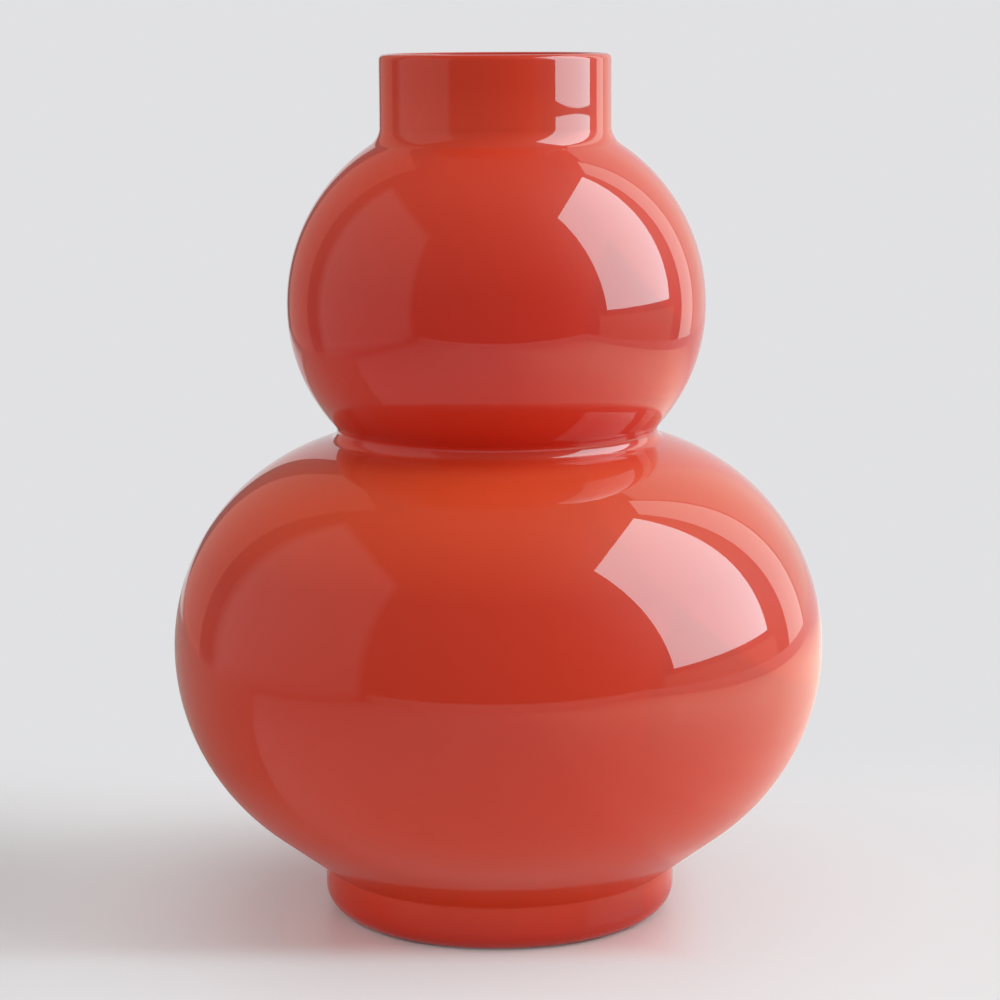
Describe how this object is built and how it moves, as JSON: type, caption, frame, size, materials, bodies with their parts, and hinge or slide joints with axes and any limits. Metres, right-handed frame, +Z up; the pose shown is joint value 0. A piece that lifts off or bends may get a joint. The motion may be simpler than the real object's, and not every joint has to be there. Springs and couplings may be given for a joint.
{
  "type": "double gourd vase",
  "caption": "Double gourd vase of cased coral glass: a wide lower bulb on a low ring foot, a pinched waist, a smaller upper bulb and a straight neck with a rounded lip.",
  "frame": {"origin": "centre of the base, on the surface that the vase stands on", "axes": "+Z up along the vase's axis of symmetry; the vase is round, so +X and +Y are free, and the picture looks along +Y"},
  "size_m": [0.2278, 0.2278, 0.3],
  "materials": {
    "overlay_glass": "coral overlay glass, fire-polished to a mirror gloss",
    "core_glass": "deep red opaque glass, smooth from blowing",
    "foot_glass": "coral glass, fire-polished, with a ground standing ring"
  },
  "bodies": {
    "root": {"foot": "foot_glass", "lower_bulb_core": "core_glass", "lower_bulb_overlay": "overlay_glass", "upper_bulb_core": "core_glass", "upper_bulb_overlay": "overlay_glass", "neck_core": "core_glass", "neck_overlay": "overlay_glass"}
  },
  "joints": []
}
